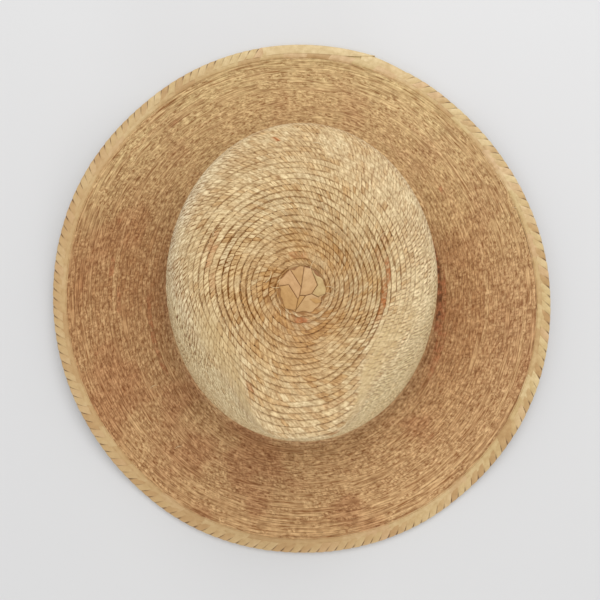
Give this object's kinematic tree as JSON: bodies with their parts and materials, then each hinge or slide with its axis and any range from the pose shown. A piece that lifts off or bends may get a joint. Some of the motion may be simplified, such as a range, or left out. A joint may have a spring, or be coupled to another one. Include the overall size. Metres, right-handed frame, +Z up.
{
  "type": "wide-brim straw fedora",
  "caption": "Wide-brim fedora of sewn palm-leaf braid with a pinched teardrop crown, a toasted brim and a pale plaited edge; lies on its brim, head hollow open below.",
  "frame": {"origin": "on the floor below the middle of the brim's outline", "axes": "+Z up through the crown, -Y towards the pinched front, +X towards the right side seen from above with the front nearest"},
  "size_m": [0.332, 0.3466, 0.112],
  "materials": {
    "pale_braid": "pale natural palm-leaf braid, satin, sewn in overlapping rows",
    "smooth_leaf": "broad smooth palm-leaf strips, satin",
    "toasted_braid": "toasted brown palm-leaf braid, satin, sewn in overlapping rows",
    "edge_plait": "pale plait folded over the edge and sewn through"
  },
  "bodies": {
    "root": {"crown": "pale_braid", "crown_button": "smooth_leaf", "brim": "toasted_braid", "brim_binding": "edge_plait"}
  },
  "joints": []
}
